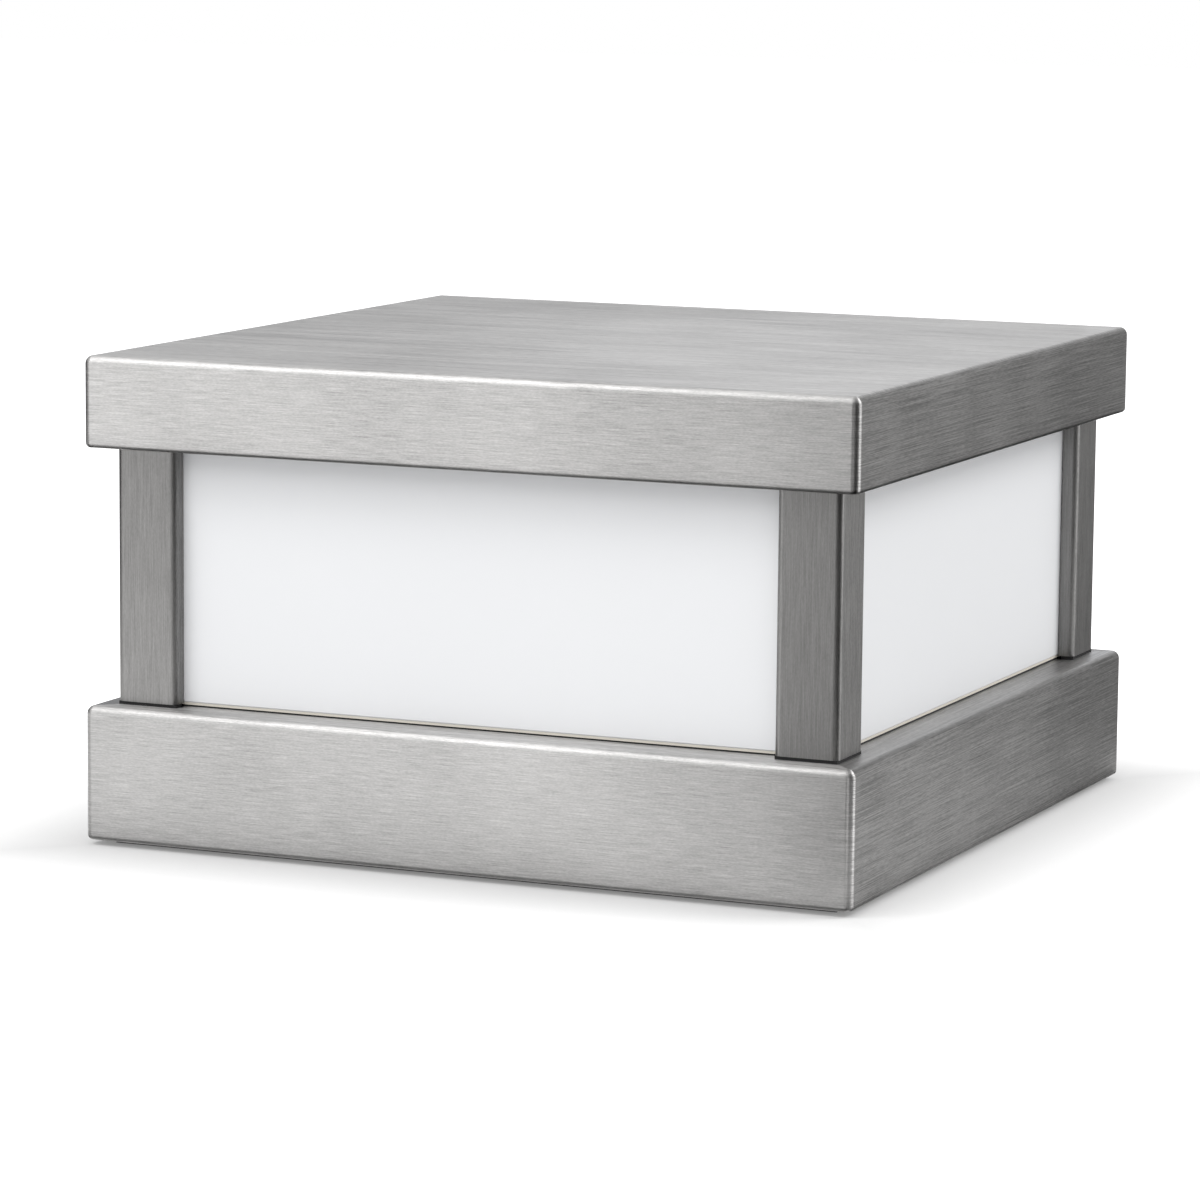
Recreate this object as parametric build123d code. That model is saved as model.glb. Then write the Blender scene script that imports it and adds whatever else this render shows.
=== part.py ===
"""Pillar light for a gate post or garden wall.

A square base and an overhanging cap of folded stainless sheet are joined by four folded
corner posts. Opal panes stand between the posts, a light tray with its LED board lies on the
base, and the driver, terminals and cable entry are inside the base. The cap lifts off.

Millimetres, +Z up. The origin is the middle of the gasket face that rests on the pillar,
and the front of the light faces -Y.
"""
from build123d import *
import os

# Overall sizes
WIDTH = 250.0               # side of the square base and of the cap
BASE_HEIGHT = 41.5          # steel base, without its gasket
LANTERN_HEIGHT = 79.0       # posts and panes that show between base and cap
CAP_HEIGHT = 28.0
SHEET = 1.5                 # stainless sheet of base, cap and top frame
BEND_RADIUS = 2.5           # outside radius of the bends of base and cap
LOWER_BEND_RADIUS = 1.5     # tighter bend along their lower edges

# Corner posts and panes
POST_WIDTH = 20.0           # each leg of a folded corner post
POST_SHEET = 1.2
POST_BEND = 2.0             # outside radius of a post's bends
POST_INSET = 7.5            # from the face of base and cap to the face of a post
POST_TUCK = 4.0             # how far posts and panes reach up inside the cap
POST_PAD_HEIGHT = 1.0       # dark pad under the foot of a post
POST_PAD_WIDTH = 4.0
POST_PAD_MARGIN = 0.3       # from the face of a post to the edge of its pad
PANE_SETBACK = 5.5          # from the face of a post to the face of a pane
PANE_THICKNESS = 3.0
PANE_OVERLAP = 8.0          # how far a pane runs on behind a post
PANE_PLAY = 0.3             # gap between a pane and the metal that holds it
PANE_SEAL_HEIGHT = 1.2
PANE_SEAL_WIDTH = 2.4
RETAINER_LEG = 16.0         # inner angle that holds two panes against a post
RETAINER_SHEET = 1.0

# Top frame and cap
FRAME_UPSTAND = 12.0        # rim of the top frame, which the cap goes over
CAP_CLEARANCE = 0.7         # between that rim and the cap's lower return
CAP_GASKET_HEIGHT = 3.0
CAP_GASKET_WIDTH = 7.0
GASKET_MARGIN = 1.0         # bare edge outside a gasket
FRAME_MARGIN = 2.0          # bare edge of the top frame inside the cap gasket
REFLECTOR_GAP = 2.0         # between the reflector tray and the nuts beside it
REFLECTOR_SHEET = 1.0
SET_SCREW_SPACING = 140.0   # two grub screws in the back of the cap
SET_SCREW_RISE = 7.0        # above the underside of the top frame
SET_SCREW_GAP = 0.3         # to the rim that it bears on when tightened
SET_SCREW_RECESS = 0.4      # below the face of the cap

# Base plate, gasket and fixing to the pillar
PLATE_THICKNESS = 2.5
PLATE_PLAY = 0.3
PLATE_RECESS = 11.0         # from the face of the base to the pocket for the plate
LEDGE_WIDTH = 16.0          # joggled ledge that the plate is welded to
GASKET_THICKNESS = 1.5
GASKET_INSET = 7.0          # from the face of the base to the gasket's edge
GASKET_WIDTH = 22.0
ANCHOR_SPACING = 150.0      # four holes for anchor bolts
ANCHOR_HOLE_RADIUS = 3.5
CABLE_HOLE_RADIUS = 10.0
CABLE_BORE_RADIUS = 4.5
GROMMET_COLLAR_RADIUS = 13.0
GROMMET_COLLAR_HEIGHT = 3.0

# Light tray and LED board
TRAY_SHEET = 1.5
TRAY_GAP = 7.0              # between the edge of the light tray and the pane retainers
TRAY_OVERLAP = 9.0          # of the tray over the edge of the gear opening
TRAY_CORNER = 4.0
LED_BOARD_SIDE = 150.0
LED_BOARD_WIDTH = 30.0
LED_BOARD_THICKNESS = 1.6
LEDS_PER_SIDE = 8
LED_PITCH = 14.0
LED_LENGTH = 3.5
LED_WIDTH = 2.8
LED_HEIGHT = 0.8
CONNECTOR_WIDTH = 9.0
CONNECTOR_DEPTH = 7.0
CONNECTOR_HEIGHT = 6.0
CONNECTOR_MARGIN = 2.0      # from the inner edge of the board to the connector
LEAD_HOLE_RADIUS = 5.0
LEAD_BORE_RADIUS = 3.2
LEAD_COLLAR_RADIUS = 7.0
LEAD_COLLAR_HEIGHT = 1.5
LEAD_HOLE_GAP = 1.0         # between the board and the grommet beside it

# Driver, terminals, earth point and leads on the base plate
DRIVER_LENGTH = 110.0
DRIVER_WIDTH = 42.0
DRIVER_HEIGHT = 26.0
DRIVER_CORNER = 3.0
DRIVER_LEAD_INSET = 6.0     # from the front of the driver to the leads in its top
STRAP_END = 10.0            # from the end of the driver to the middle of a strap
STRAP_WIDTH = 14.0
STRAP_SHEET = 1.2
STRAP_FOOT = 9.0
TERMINAL_POLES = 3
TERMINAL_PITCH = 11.0
TERMINAL_DEPTH = 20.0
TERMINAL_HEIGHT = 17.0
TERMINAL_SHOULDER = 11.0    # height of the step at the wire entries
TERMINAL_STEP = 6.0         # depth of that step
LEAD_STRAP_GAP = 8.0        # from a strap to the middle of the lead beside it
TERMINAL_Y = -50.0
LEVER_WIDTH = 7.0
LEVER_LENGTH = 11.0
LEVER_HEIGHT = 4.0
LEVER_DEPTH = 2.5           # how deep a lever sits in its slot
EARTH_STUD_HEIGHT = 12.0
EARTH_TAG_REACH = 4.5       # half the width of the earth tag
EARTH_TAG_SHEET = 0.8
EARTH_TAG_LENGTH = 14.0     # from the stud to the turned-up end of the tag
EARTH_LEAD_LENGTH = 24.0
LEAD_RADIUS = 1.1
LEAD_FACETS = 6
LEAD_BEND = 4.0
LEAD_GAP = 2.6              # between the two LED leads

# Fasteners
M4_RADIUS = 2.0
M4_NUT_FLATS = 7.0
M4_NUT_HEIGHT = 3.2
M4_HEAD_HEIGHT = 2.8
M4_SOCKET_FLATS = 2.0
M4_SOCKET_DEPTH = 2.0
NUT_ROOM = 4.5              # radius kept free round a nut
THREAD_PLAY = 0.05          # between a screw and its nut or tapped hole
HOLE_PLAY = 0.25            # between a screw and a plain hole
ROD_END = 2.0               # rod that shows past its nut
CHAMFER = 0.4

# Levels
BASE_BOTTOM = GASKET_THICKNESS
PLATE_TOP = BASE_BOTTOM + PLATE_THICKNESS
LEDGE_TOP = PLATE_TOP + SHEET
BASE_TOP = BASE_BOTTOM + BASE_HEIGHT
BASE_CEILING = BASE_TOP - SHEET
POST_BOTTOM = BASE_TOP + POST_PAD_HEIGHT
TRAY_TOP = BASE_TOP + TRAY_SHEET
BOARD_TOP = TRAY_TOP + LED_BOARD_THICKNESS
CAP_BOTTOM = BASE_TOP + LANTERN_HEIGHT
FRAME_BOTTOM = CAP_BOTTOM + POST_TUCK
FRAME_TOP = FRAME_BOTTOM + SHEET
REFLECTOR_BOTTOM = FRAME_TOP + CAP_GASKET_HEIGHT
CAP_TOP = CAP_BOTTOM + CAP_HEIGHT
CAP_CEILING = CAP_TOP - SHEET

# Reaches from the middle of the light
HALF = WIDTH / 2
POST_FACE = HALF - POST_INSET
PANE_FACE = POST_FACE - PANE_SETBACK
PANE_BACK = PANE_FACE - PANE_THICKNESS
PANE_REACH = POST_FACE - POST_WIDTH + PANE_OVERLAP
ROD_REACH = (PANE_REACH + POST_FACE - POST_SHEET) / 2
REFLECTOR_REACH = ROD_REACH - NUT_ROOM - REFLECTOR_GAP
CAP_GASKET_REACH = REFLECTOR_REACH - GASKET_MARGIN
FRAME_OPENING_REACH = CAP_GASKET_REACH - CAP_GASKET_WIDTH - FRAME_MARGIN
POCKET_REACH = HALF - PLATE_RECESS
LEDGE_REACH = POCKET_REACH - LEDGE_WIDTH
PLATE_REACH = POCKET_REACH - PLATE_PLAY
GASKET_REACH = HALF - GASKET_INSET
TRAY_REACH = PANE_BACK - PANE_PLAY - RETAINER_SHEET - TRAY_GAP
OPENING_REACH = TRAY_REACH - TRAY_OVERLAP
TRAY_SCREW_REACH = TRAY_REACH - TRAY_OVERLAP / 2
LED_REACH = (LED_BOARD_SIDE - LED_BOARD_WIDTH) / 2
ANCHOR_REACH = ANCHOR_SPACING / 2
SET_SCREW_LEVEL = FRAME_BOTTOM + SET_SCREW_RISE

# Places of the electrical gear
BOARD_INNER_EDGE = LED_BOARD_SIDE / 2 - LED_BOARD_WIDTH
CONNECTOR_FACE = BOARD_INNER_EDGE + CONNECTOR_MARGIN
LEAD_HOLE_Y = BOARD_INNER_EDGE - LEAD_HOLE_GAP - LEAD_COLLAR_RADIUS
DRIVER_FRONT = LEAD_HOLE_Y - DRIVER_LEAD_INSET
DRIVER_Y = DRIVER_FRONT + DRIVER_WIDTH / 2
DRIVER_TOP = PLATE_TOP + DRIVER_HEIGHT
STRAP_X = DRIVER_LENGTH / 2 - STRAP_END
TERMINAL_X = STRAP_WIDTH / 2 + LEAD_STRAP_GAP - STRAP_X
TERMINAL_LENGTH = TERMINAL_POLES * TERMINAL_PITCH
TERMINAL_BACK = TERMINAL_Y + TERMINAL_DEPTH / 2
LEAD_LEVEL = PLATE_TOP + TERMINAL_SHOULDER / 2
EARTH_X = TERMINAL_X - (TERMINAL_POLES - 1) * TERMINAL_PITCH / 2
EARTH_TAG_END = TERMINAL_BACK + EARTH_LEAD_LENGTH
EARTH_Y = EARTH_TAG_END + EARTH_TAG_LENGTH

# Corners and sides in turning order, each a quarter turn on from the one before
CORNERS = ("front_left", "front_right", "back_right", "back_left")
SIDES = ("front", "right", "back", "left")


def slab(length, width, low, high, x=0.0, y=0.0):
    """A plain block between two levels."""
    return Pos(x, y, (low + high) / 2) * Box(length, width, high - low)


def square_ring(outer_reach, inner_reach, low, high):
    """A flat square frame, given by its reaches from the middle."""
    opening = slab(2 * inner_reach, 2 * inner_reach, low, high)
    return slab(2 * outer_reach, 2 * outer_reach, low, high) - opening


def rod(radius, low, high, x=0.0, y=0.0):
    """An upright cylinder between two levels."""
    return Pos(x, y, (low + high) / 2) * Cylinder(radius, high - low)


def hexagon(flats, low, high, x=0.0, y=0.0):
    """An upright hexagon bar, given across its flats."""
    bar = extrude(RegularPolygon(flats / 2, 6, major_radius=False), amount=high - low)
    return Pos(x, y, low) * bar


def corner_points(reach):
    """The four corners of a square round the middle."""
    return [(x, y) for x in (-reach, reach) for y in (-reach, reach)]


def holes(part, points, radius, low, high):
    """The part with round upright holes at those points."""
    for x, y in points:
        part -= rod(radius, low, high, x, y)
    return part


def all_round(piece):
    """The piece at all four sides or corners, by quarter turns round the middle."""
    return [Rot(0, 0, turn) * piece for turn in (0, 90, 180, 270)]


def group(pieces):
    """Identical separate pieces that share one node."""
    return Compound(children=list(pieces))


def bent_shell(low, high):
    """A closed box of folded sheet with rounded outer bends, as wide as the light."""
    block = slab(WIDTH, WIDTH, low, high)
    lower_edges = block.edges().group_by(Axis.Z)[0]
    outer = fillet([edge for edge in block.edges() if edge not in lower_edges], BEND_RADIUS)
    outer = fillet(outer.faces().sort_by(Axis.Z)[0].edges(), LOWER_BEND_RADIUS)
    inside = WIDTH - 2 * SHEET
    return outer - slab(inside, inside, low + SHEET, high - SHEET)


def nut(low, x, y):
    """A plain M4 nut."""
    high = low + M4_NUT_HEIGHT
    return hexagon(M4_NUT_FLATS, low, high, x, y) - rod(M4_RADIUS + THREAD_PLAY, low, high, x, y)


def lead(points):
    """A thin insulated wire, six-sided, along straight runs with rounded corners."""
    path = FilletPolyline(*points, radius=LEAD_BEND) if len(points) > 2 else Line(*points)
    section = Plane(origin=path @ 0, z_dir=path % 0) * RegularPolygon(LEAD_RADIUS, LEAD_FACETS)
    return sweep(section, path=path)


def base_housing():
    """Folded base: a skirt, a top with the gear opening, and a joggled ledge round the open bottom."""
    shell = bent_shell(BASE_BOTTOM, BASE_TOP)
    ledge_edge = POCKET_REACH + SHEET
    shell += slab(2 * ledge_edge, 2 * ledge_edge, BASE_BOTTOM, LEDGE_TOP)
    shell -= slab(2 * POCKET_REACH, 2 * POCKET_REACH, BASE_BOTTOM, PLATE_TOP)
    shell -= slab(2 * LEDGE_REACH, 2 * LEDGE_REACH, BASE_BOTTOM, LEDGE_TOP)
    shell -= slab(2 * OPENING_REACH, 2 * OPENING_REACH, BASE_CEILING, BASE_TOP)
    return holes(shell, corner_points(TRAY_SCREW_REACH), M4_RADIUS + THREAD_PLAY, BASE_CEILING, BASE_TOP)


def base_plate():
    """Plate that closes the base, spot-welded to its ledge, with anchor holes and a cable hole."""
    plate = slab(2 * PLATE_REACH, 2 * PLATE_REACH, BASE_BOTTOM, PLATE_TOP)
    plate = holes(plate, corner_points(ANCHOR_REACH), ANCHOR_HOLE_RADIUS, BASE_BOTTOM, PLATE_TOP)
    return plate - rod(CABLE_HOLE_RADIUS, BASE_BOTTOM, PLATE_TOP)


def base_gasket():
    """Soft ring between the light and the pillar."""
    return square_ring(GASKET_REACH, GASKET_REACH - GASKET_WIDTH, 0, GASKET_THICKNESS)


def cable_grommet():
    """Rubber bush in the base plate that the supply cable comes up through."""
    collar_top = PLATE_TOP + GROMMET_COLLAR_HEIGHT
    bush = rod(CABLE_HOLE_RADIUS, BASE_BOTTOM, PLATE_TOP)
    bush += rod(GROMMET_COLLAR_RADIUS, PLATE_TOP, collar_top)
    return bush - rod(CABLE_BORE_RADIUS, BASE_BOTTOM, collar_top)


def post():
    """Folded front left corner post: two legs, each with a return that reaches in to the panes."""
    lip = PANE_SETBACK - PANE_PLAY
    inner = POST_WIDTH - POST_SHEET
    outline = Polyline(
        (0, 0), (POST_WIDTH, 0), (POST_WIDTH, lip), (inner, lip), (inner, POST_SHEET),
        (POST_SHEET, POST_SHEET), (POST_SHEET, inner), (lip, inner), (lip, POST_WIDTH),
        (0, POST_WIDTH), close=True)
    bar = extrude(make_face(outline), amount=FRAME_BOTTOM - POST_BOTTOM)
    upright = bar.edges().filter_by(Axis.Z)
    outside = {(0, 0), (POST_WIDTH, 0), (0, POST_WIDTH)}
    inside = {(POST_SHEET, POST_SHEET), (inner, POST_SHEET), (POST_SHEET, inner)}
    bar = fillet(edges_at(upright, outside), POST_BEND)
    bar = fillet(edges_at(bar.edges().filter_by(Axis.Z), inside), POST_BEND - POST_SHEET)
    return Pos(-POST_FACE, -POST_FACE, POST_BOTTOM) * bar


def post_pads():
    """A dark angle-shaped pad between each post and the base."""
    side = POST_WIDTH - 2 * POST_PAD_MARGIN
    middle = POST_WIDTH / 2 - POST_FACE
    square = slab(side, side, BASE_TOP, POST_BOTTOM)
    angle = square - Pos(POST_PAD_WIDTH, POST_PAD_WIDTH, 0) * square
    return group(all_round(Pos(middle, middle, 0) * angle))


def edges_at(edges, places):
    """The upright edges that stand on those points."""
    def on_place(edge):
        return any((edge.center() - Vector(x, y, edge.center().Z)).length < THREAD_PLAY for x, y in places)
    return [edge for edge in edges if on_place(edge)]


def pane():
    """Opal front pane, which stands behind two posts."""
    low = BASE_TOP + PANE_SEAL_HEIGHT
    high = FRAME_BOTTOM - PANE_SEAL_HEIGHT
    sheet = slab(2 * PANE_REACH, PANE_THICKNESS, low, high, 0, -(PANE_FACE + PANE_BACK) / 2)
    return chamfer(sheet.edges().filter_by(Axis.X), CHAMFER)


def pane_seals(low):
    """Four soft strips along the edges of the panes."""
    middle = (PANE_FACE + PANE_BACK) / 2
    strip = slab(2 * PANE_REACH, PANE_SEAL_WIDTH, low, low + PANE_SEAL_HEIGHT, 0, -middle)
    return group(all_round(strip))


def pane_retainer():
    """Front left inner angle, which holds two panes out against the returns of a post."""
    face = PANE_BACK - PANE_PLAY
    block = slab(RETAINER_LEG, RETAINER_LEG, BASE_TOP, FRAME_BOTTOM)
    cut = Pos(RETAINER_SHEET, RETAINER_SHEET, 0) * block
    return Pos(-face + RETAINER_LEG / 2, -face + RETAINER_LEG / 2, 0) * (block - cut)


def tie_rods():
    """Threaded rods, welded to the base inside the posts, that clamp the top frame down on them."""
    high = FRAME_TOP + M4_NUT_HEIGHT + ROD_END
    return group(rod(M4_RADIUS, BASE_TOP, high, x, y) for x, y in corner_points(ROD_REACH))


def tie_rod_nuts():
    """A nut on the top of each tie rod."""
    return group(nut(FRAME_TOP, x, y) for x, y in corner_points(ROD_REACH))


def top_frame():
    """Square frame on the posts, with an outer rim that the cap goes over."""
    tray = slab(2 * POST_FACE, 2 * POST_FACE, FRAME_BOTTOM, FRAME_BOTTOM + FRAME_UPSTAND)
    tray = fillet(tray.edges().filter_by(Axis.Z), POST_BEND)
    inside = POST_FACE - SHEET
    tray -= slab(2 * inside, 2 * inside, FRAME_TOP, FRAME_BOTTOM + FRAME_UPSTAND)
    tray -= slab(2 * FRAME_OPENING_REACH, 2 * FRAME_OPENING_REACH, FRAME_BOTTOM, FRAME_TOP)
    return holes(tray, corner_points(ROD_REACH), M4_RADIUS + HOLE_PLAY, FRAME_BOTTOM, FRAME_TOP)


def cap_gasket():
    """Foam ring on the top frame that the reflector tray rests on."""
    return square_ring(CAP_GASKET_REACH, CAP_GASKET_REACH - CAP_GASKET_WIDTH, FRAME_TOP, REFLECTOR_BOTTOM)


def cap_shell():
    """Folded lid with a narrow return round its open bottom and two screw holes at the back."""
    shell = bent_shell(CAP_BOTTOM, CAP_TOP)
    opening = POST_FACE + CAP_CLEARANCE
    shell -= slab(2 * opening, 2 * opening, CAP_BOTTOM, CAP_BOTTOM + SHEET)
    hole = Rot(90, 0, 0) * Cylinder(M4_RADIUS + HOLE_PLAY, SHEET)
    for x in (-SET_SCREW_SPACING / 2, SET_SCREW_SPACING / 2):
        shell -= Pos(x, HALF - SHEET / 2, SET_SCREW_LEVEL) * hole
    return shell


def cap_set_screws():
    """Grub screws in the back of the cap that bear on the rim of the top frame."""
    outer = HALF - SET_SCREW_RECESS
    inner = POST_FACE + SET_SCREW_GAP
    body = rod(M4_RADIUS, 0, outer - inner)
    body -= hexagon(M4_SOCKET_FLATS, outer - inner - M4_SOCKET_DEPTH, outer - inner)
    xs = (-SET_SCREW_SPACING / 2, SET_SCREW_SPACING / 2)
    return group(Pos(x, inner, SET_SCREW_LEVEL) * Rot(-90, 0, 0) * body for x in xs)


def cap_set_nuts():
    """Weld nuts inside the back of the cap for the grub screws."""
    xs = (-SET_SCREW_SPACING / 2, SET_SCREW_SPACING / 2)
    low = HALF - SHEET - M4_NUT_HEIGHT
    return group(Pos(x, low, SET_SCREW_LEVEL) * Rot(-90, 0, 0) * nut(0, 0, 0) for x in xs)


def cap_reflector():
    """White tray bonded under the cap, open at the top, that throws the light back down."""
    side = 2 * REFLECTOR_REACH
    tray = slab(side, side, REFLECTOR_BOTTOM, CAP_CEILING)
    tray = chamfer(tray.faces().sort_by(Axis.Z)[0].edges(), REFLECTOR_SHEET)
    inside = side - 2 * REFLECTOR_SHEET
    return tray - slab(inside, inside, REFLECTOR_BOTTOM + REFLECTOR_SHEET, CAP_CEILING)


def gear_tray():
    """White tray over the gear opening that carries the LED board."""
    tray = slab(2 * TRAY_REACH, 2 * TRAY_REACH, BASE_TOP, TRAY_TOP)
    tray = chamfer(tray.edges().filter_by(Axis.Z), TRAY_CORNER)
    tray = holes(tray, corner_points(TRAY_SCREW_REACH), M4_RADIUS + HOLE_PLAY, BASE_TOP, TRAY_TOP)
    return tray - rod(LEAD_HOLE_RADIUS, BASE_TOP, TRAY_TOP, 0, LEAD_HOLE_Y)


def gear_tray_screws():
    """Hexagon-headed screws at the corners of the light tray."""
    def screw(x, y):
        head = hexagon(M4_NUT_FLATS, TRAY_TOP, TRAY_TOP + M4_HEAD_HEIGHT, x, y)
        return head + rod(M4_RADIUS, BASE_CEILING - ROD_END, TRAY_TOP, x, y)
    return group(screw(x, y) for x, y in corner_points(TRAY_SCREW_REACH))


def lead_grommet():
    """Rubber bush in the light tray for the LED leads."""
    collar_top = TRAY_TOP + LEAD_COLLAR_HEIGHT
    bush = rod(LEAD_COLLAR_RADIUS, TRAY_TOP, collar_top, 0, LEAD_HOLE_Y)
    bush += rod(LEAD_HOLE_RADIUS, BASE_TOP, TRAY_TOP, 0, LEAD_HOLE_Y)
    return bush - rod(LEAD_BORE_RADIUS, BASE_TOP, collar_top, 0, LEAD_HOLE_Y)


def led_board():
    """Square LED board with an open middle, bonded to the light tray."""
    return square_ring(LED_BOARD_SIDE / 2, LED_BOARD_SIDE / 2 - LED_BOARD_WIDTH, TRAY_TOP, BOARD_TOP)


def led_connector():
    """Small connector on the back of the LED board, where the leads from the driver end."""
    low, high = CONNECTOR_FACE, CONNECTOR_FACE + CONNECTOR_DEPTH
    block = slab(CONNECTOR_WIDTH, high - low, BOARD_TOP, BOARD_TOP + CONNECTOR_HEIGHT, 0, (low + high) / 2)
    return chamfer(block.edges().filter_by(Axis.X).sort_by(Axis.Z)[-2:], CHAMFER)


def leds():
    """A row of LED packages along each side of the board."""
    chip = slab(LED_LENGTH, LED_WIDTH, BOARD_TOP, BOARD_TOP + LED_HEIGHT)
    first = -(LEDS_PER_SIDE - 1) * LED_PITCH / 2
    row = [Pos(first + i * LED_PITCH, -LED_REACH, 0) * chip for i in range(LEDS_PER_SIDE)]
    return group(turned for one in row for turned in all_round(one))


def led_driver():
    """Sealed driver box."""
    box = slab(DRIVER_LENGTH, DRIVER_WIDTH, PLATE_TOP, DRIVER_TOP, 0, DRIVER_Y)
    return chamfer(box.edges().filter_by(Axis.Z), DRIVER_CORNER)


def driver_straps():
    """Two folded straps, spot-welded to the base plate, that hold the driver down."""
    across = DRIVER_WIDTH + 2 * STRAP_SHEET
    strap = slab(STRAP_WIDTH, across, PLATE_TOP, DRIVER_TOP + STRAP_SHEET, 0, DRIVER_Y)
    strap += slab(STRAP_WIDTH, across + 2 * STRAP_FOOT, PLATE_TOP, PLATE_TOP + STRAP_SHEET, 0, DRIVER_Y)
    strap -= slab(STRAP_WIDTH, DRIVER_WIDTH, PLATE_TOP, DRIVER_TOP, 0, DRIVER_Y)
    return group(Pos(x, 0, 0) * strap for x in (-STRAP_X, STRAP_X))


def pole_places():
    """Middle of each pole of the terminal block."""
    first = TERMINAL_X - (TERMINAL_POLES - 1) * TERMINAL_PITCH / 2
    return [first + i * TERMINAL_PITCH for i in range(TERMINAL_POLES)]


def terminal_block():
    """Stepped terminal block with a slot for the lever of each pole."""
    low, high = PLATE_TOP, PLATE_TOP + TERMINAL_HEIGHT
    front = TERMINAL_Y - TERMINAL_STEP / 2
    block = slab(TERMINAL_LENGTH, TERMINAL_DEPTH, low, low + TERMINAL_SHOULDER, TERMINAL_X, TERMINAL_Y)
    block += slab(TERMINAL_LENGTH, TERMINAL_DEPTH - TERMINAL_STEP, low, high, TERMINAL_X, front)
    slot_width = LEVER_WIDTH + 2 * HOLE_PLAY
    slot_length = LEVER_LENGTH + 2 * HOLE_PLAY
    for x in pole_places():
        block -= slab(slot_width, slot_length, high - LEVER_DEPTH, high, x, front)
    return block


def terminal_levers():
    """A clamp lever in each slot of the terminal block."""
    front = TERMINAL_Y - TERMINAL_STEP / 2
    low = PLATE_TOP + TERMINAL_HEIGHT - LEVER_DEPTH
    return group(slab(LEVER_WIDTH, LEVER_LENGTH, low, low + LEVER_HEIGHT, x, front) for x in pole_places())


def earth_stud():
    """Threaded earth stud welded to the base plate."""
    return rod(M4_RADIUS, PLATE_TOP, PLATE_TOP + EARTH_STUD_HEIGHT, EARTH_X, EARTH_Y)


def earth_tag():
    """Flat tag on the stud, turned up at the end where the earth lead is crimped."""
    low, high = PLATE_TOP, PLATE_TOP + EARTH_TAG_SHEET
    wide = 2 * EARTH_TAG_REACH
    length = EARTH_Y + EARTH_TAG_REACH - EARTH_TAG_END
    tag = slab(wide, length, low, high, EARTH_X, EARTH_TAG_END + length / 2)
    turned = EARTH_TAG_END + EARTH_TAG_SHEET / 2
    tag += slab(wide, EARTH_TAG_SHEET, low, LEAD_LEVEL + EARTH_TAG_REACH / 2, EARTH_X, turned)
    return tag - rod(M4_RADIUS + HOLE_PLAY, low, high, EARTH_X, EARTH_Y)


def straight_lead(x, end_y):
    """Lead that runs straight back from a pole of the terminal block."""
    return lead([(x, TERMINAL_BACK, LEAD_LEVEL), (x, end_y, LEAD_LEVEL)])


def led_lead(side):
    """Lead from the top of the driver, up through the light tray and over to the LED connector."""
    x = side * LEAD_GAP / 2
    level = BOARD_TOP + CONNECTOR_HEIGHT / 2
    return lead([(x, LEAD_HOLE_Y, DRIVER_TOP), (x, LEAD_HOLE_Y, level), (x, CONNECTOR_FACE, level)])


EARTH_POLE, NEUTRAL_POLE, LIVE_POLE = pole_places()
PIECES = {
    "base_housing": base_housing(),
    "base_plate": base_plate(),
    "base_gasket": base_gasket(),
    "cable_grommet": cable_grommet(),
    "lower_pane_seals": pane_seals(BASE_TOP),
    "upper_pane_seals": pane_seals(FRAME_BOTTOM - PANE_SEAL_HEIGHT),
    "tie_rods": tie_rods(),
    "tie_rod_nuts": tie_rod_nuts(),
    "top_frame": top_frame(),
    "cap_gasket": cap_gasket(),
    "cap_shell": cap_shell(),
    "cap_set_screws": cap_set_screws(),
    "cap_set_nuts": cap_set_nuts(),
    "cap_reflector": cap_reflector(),
    "gear_tray": gear_tray(),
    "gear_tray_screws": gear_tray_screws(),
    "lead_grommet": lead_grommet(),
    "led_board": led_board(),
    "led_connector": led_connector(),
    "leds": leds(),
    "led_driver": led_driver(),
    "driver_straps": driver_straps(),
    "terminal_block": terminal_block(),
    "terminal_levers": terminal_levers(),
    "earth_stud": earth_stud(),
    "earth_tag": earth_tag(),
    "earth_nut": nut(PLATE_TOP + EARTH_TAG_SHEET, EARTH_X, EARTH_Y),
    "lead_live": straight_lead(LIVE_POLE, DRIVER_FRONT),
    "lead_neutral": straight_lead(NEUTRAL_POLE, DRIVER_FRONT),
    "lead_earth": straight_lead(EARTH_POLE, EARTH_TAG_END),
    "lead_led_positive": led_lead(1),
    "lead_led_negative": led_lead(-1),
    "post_pads": post_pads(),
}
for name, piece in zip(CORNERS, all_round(post())):
    PIECES[f"post_{name}"] = piece
for name, piece in zip(CORNERS, all_round(pane_retainer())):
    PIECES[f"pane_retainer_{name}"] = piece
for name, piece in zip(SIDES, all_round(pane())):
    PIECES[f"pane_{name}"] = piece

os.makedirs("parts", exist_ok=True)
for name, piece in PIECES.items():
    export_step(piece, f"parts/{name}.step")
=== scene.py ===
# %% [markdown]
# # A pillar light in brushed stainless steel
# This file dresses the CAD model of a square pillar light. The CAD model is loaded as a fixed frame,
# and the pieces here take their places and outer sizes from it. Each step has a short text first,
# then a short cell of code that says what it made.

# %% Load the frame
import math

import bmesh
import bpy
from mathutils import Matrix, Vector


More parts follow.
